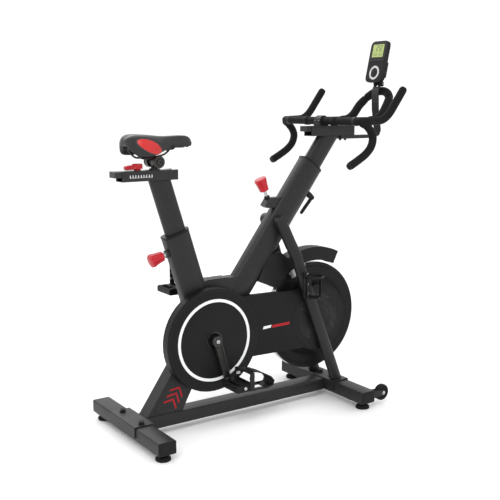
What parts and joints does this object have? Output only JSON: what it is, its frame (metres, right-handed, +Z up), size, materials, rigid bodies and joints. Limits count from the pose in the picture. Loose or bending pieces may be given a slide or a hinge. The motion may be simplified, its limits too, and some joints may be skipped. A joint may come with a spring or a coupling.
{
  "type": "indoor spin bike",
  "caption": "Indoor spin bike with belt-driven flywheel, magnetic brake, sliding saddle and handlebar columns, toe-cage pedals and tilting console.",
  "frame": {"origin": "centre of the bounding box in plan, on the floor plane under the levelling feet", "axes": "+X towards the front (flywheel and handlebar), +Y to the rider's left, +Z up"},
  "size_m": [1.2862, 0.546, 1.4992],
  "materials": {
    "frame_paint": "satin powder coat",
    "black_plastic": "moulded, fine grain",
    "black_rubber": "soft foam and rubber",
    "steel": "zinc plated",
    "dark_steel": "dark coated",
    "red_plastic": "moulded",
    "cast_iron": "painted with polished rim",
    "white_plastic": "smooth",
    "saddle_cover": "stitched cover with red side panels"
  },
  "bodies": {
    "frame": {"rear_stabiliser": "frame_paint", "front_stabiliser": "frame_paint", "rear_bracket": "frame_paint", "front_bracket": "frame_paint", "base_beam": "frame_paint", "seat_sleeve": "frame_paint", "head_tube": "frame_paint", "rear_strut": "frame_paint", "frame_web": "frame_paint", "bottom_bracket_shell": "frame_paint", "fork_leg_right": "frame_paint", "fork_leg_left": "frame_paint", "resistance_bracket": "frame_paint", "seat_bushing": "black_plastic", "handlebar_bushing": "black_plastic", "belt_guard_outer": "black_plastic", "belt_guard_inner": "black_plastic", "hub_cover": "black_plastic", "brake_housing": "black_plastic", "bottle_cage": "black_plastic", "drive_belt": "black_rubber", "flywheel_axle": "steel", "guard_ring": "white_plastic"},
    "flywheel": {"flywheel": "cast_iron", "flywheel_pulley": "steel"},
    "crankset": {"crank_axle": "steel", "drive_pulley": "black_plastic", "crank_arm_right": "dark_steel", "crank_arm_left": "dark_steel"},
    "right_pedal": {"pedal_right": "black_plastic", "toe_cage_right": "black_plastic"},
    "left_pedal": {"pedal_left": "black_plastic", "toe_cage_left": "black_plastic"},
    "left_wheel": {"transport_wheel_left": "black_rubber"},
    "right_wheel": {"transport_wheel_right": "black_rubber"},
    "rear_left_foot": {"levelling_foot_rear_left": "black_rubber"},
    "rear_right_foot": {"levelling_foot_rear_right": "black_rubber"},
    "front_left_foot": {"levelling_foot_front_left": "black_rubber"},
    "front_right_foot": {"levelling_foot_front_right": "black_rubber"},
    "seat_column": {"seat_post": "frame_paint", "seat_slide_box": "frame_paint"},
    "saddle_carriage": {"seat_slider": "steel"},
    "saddle_head": {"saddle": "saddle_cover", "saddle_rail_left": "steel", "saddle_rail_right": "steel", "saddle_clamp": "dark_steel"},
    "saddle_knob": {"seat_slider_knob": "red_plastic"},
    "column_knob": {"seat_post_knob": "red_plastic"},
    "bar_column": {"handlebar_post": "frame_paint", "handlebar_slide_box": "frame_paint", "console_bracket": "frame_paint"},
    "bar_carriage": {"handlebar_slider": "dark_steel", "handlebar": "black_rubber", "aero_loop": "black_rubber"},
    "bar_knob": {"handlebar_slider_knob": "red_plastic"},
    "console_head": {"console": "black_plastic"},
    "console_key": {"console_button": "steel"},
    "bar_lever": {"post_clamp_lever": "black_plastic"},
    "brake_knob": {"resistance_knob": "red_plastic"},
    "brake_magnet": {"magnet_bracket": "steel"}
  },
  "joints": [
    {"name": "flywheel_spin", "type": "hinge", "parent": "frame", "child": "flywheel", "pos_m": [0.24887, 0, 0.36], "axis": [0, 1, 0], "continuous": true},
    {"name": "crank_spin", "type": "hinge", "parent": "frame", "child": "crankset", "pos_m": [-0.26913, 0, 0.345], "axis": [0, 1, 0], "continuous": true},
    {"name": "right_pedal_spin", "type": "hinge", "parent": "crankset", "child": "right_pedal", "pos_m": [-0.22056, -0.165, 0.18209], "axis": [0, 1, 0], "continuous": true},
    {"name": "left_pedal_spin", "type": "hinge", "parent": "crankset", "child": "left_pedal", "pos_m": [-0.3177, 0.165, 0.50791], "axis": [0, 1, 0], "continuous": true},
    {"name": "left_wheel_spin", "type": "hinge", "parent": "frame", "child": "left_wheel", "pos_m": [0.43887, 0.247, 0.051], "axis": [0, 1, 0], "continuous": true},
    {"name": "right_wheel_spin", "type": "hinge", "parent": "frame", "child": "right_wheel", "pos_m": [0.43887, -0.247, 0.051], "axis": [0, 1, 0], "continuous": true},
    {"name": "rear_left_foot_turn", "type": "hinge", "parent": "frame", "child": "rear_left_foot", "pos_m": [-0.58913, 0.24, 0], "axis": [0, 0, 1], "range_deg": [-180, 180]},
    {"name": "rear_right_foot_turn", "type": "hinge", "parent": "frame", "child": "rear_right_foot", "pos_m": [-0.58913, -0.24, 0], "axis": [0, 0, 1], "range_deg": [-180, 180]},
    {"name": "front_left_foot_turn", "type": "hinge", "parent": "frame", "child": "front_left_foot", "pos_m": [0.34287, 0.24, 0], "axis": [0, 0, 1], "range_deg": [-180, 180]},
    {"name": "front_right_foot_turn", "type": "hinge", "parent": "frame", "child": "front_right_foot", "pos_m": [0.34287, -0.24, 0], "axis": [0, 0, 1], "range_deg": [-180, 180]},
    {"name": "seat_height", "type": "slide", "parent": "frame", "child": "seat_column", "axis": [-0.304, 0, 0.9527], "range_m": [-0.09, 0.1]},
    {"name": "seat_reach", "type": "slide", "parent": "seat_column", "child": "saddle_carriage", "axis": [1, 0, 0], "range_m": [-0.03, 0.05]},
    {"name": "saddle_tilt", "type": "hinge", "parent": "saddle_carriage", "child": "saddle_head", "pos_m": [-0.47513, 0, 1.0301], "axis": [0, 1, 0], "range_deg": [-8, 8]},
    {"name": "saddle_knob_turn", "type": "hinge", "parent": "saddle_carriage", "child": "saddle_knob", "pos_m": [-0.54413, 0, 1.0001], "axis": [0, 0, 1], "range_deg": [-180, 180]},
    {"name": "column_knob_turn", "type": "hinge", "parent": "frame", "child": "column_knob", "pos_m": [-0.4255, 0, 0.68693], "axis": [-0.9527, 0, -0.304], "range_deg": [-180, 180]},
    {"name": "bar_height", "type": "slide", "parent": "frame", "child": "bar_column", "axis": [0.599, 0, 0.8007], "range_m": [-0.04, 0.1]},
    {"name": "bar_reach", "type": "slide", "parent": "bar_column", "child": "bar_carriage", "axis": [1, 0, 0], "range_m": [0, 0.04]},
    {"name": "bar_knob_turn", "type": "hinge", "parent": "bar_carriage", "child": "bar_knob", "pos_m": [0.36287, 0, 1.1475], "axis": [0, 0, 1], "range_deg": [-180, 180]},
    {"name": "console_tilt", "type": "hinge", "parent": "bar_column", "child": "console_head", "pos_m": [0.61087, 0, 1.32], "axis": [0, 1, 0], "range_deg": [-10, 25]},
    {"name": "console_button_press", "type": "slide", "parent": "console_head", "child": "console_key", "axis": [0.9763, 0, -0.2164], "range_m": [0, 0.0015], "stiffness_N_per_m": 400, "springref_m": -0.0005},
    {"name": "bar_lever_turn", "type": "hinge", "parent": "frame", "child": "bar_lever", "pos_m": [0.22841, 0, 0.87418], "axis": [0.8007, 0, -0.599], "range_deg": [-90, 90]},
    {"name": "resistance_turn", "type": "hinge", "parent": "frame", "child": "brake_knob", "pos_m": [0.01387, 0, 0.897], "axis": [-0.4096, 0, 0.9123], "range_deg": [0, 340]},
    {"name": "magnet_swing", "type": "hinge", "parent": "frame", "child": "brake_magnet", "pos_m": [0.11355, 0, 0.56063], "axis": [0, 1, 0], "range_deg": [0, 3.4]}
  ],
  "couplings": [
    {"joint": "crank_spin", "follows": "flywheel_spin", "ratio": 0.30476},
    {"joint": "magnet_swing", "follows": "resistance_turn", "ratio": 0.01}
  ]
}
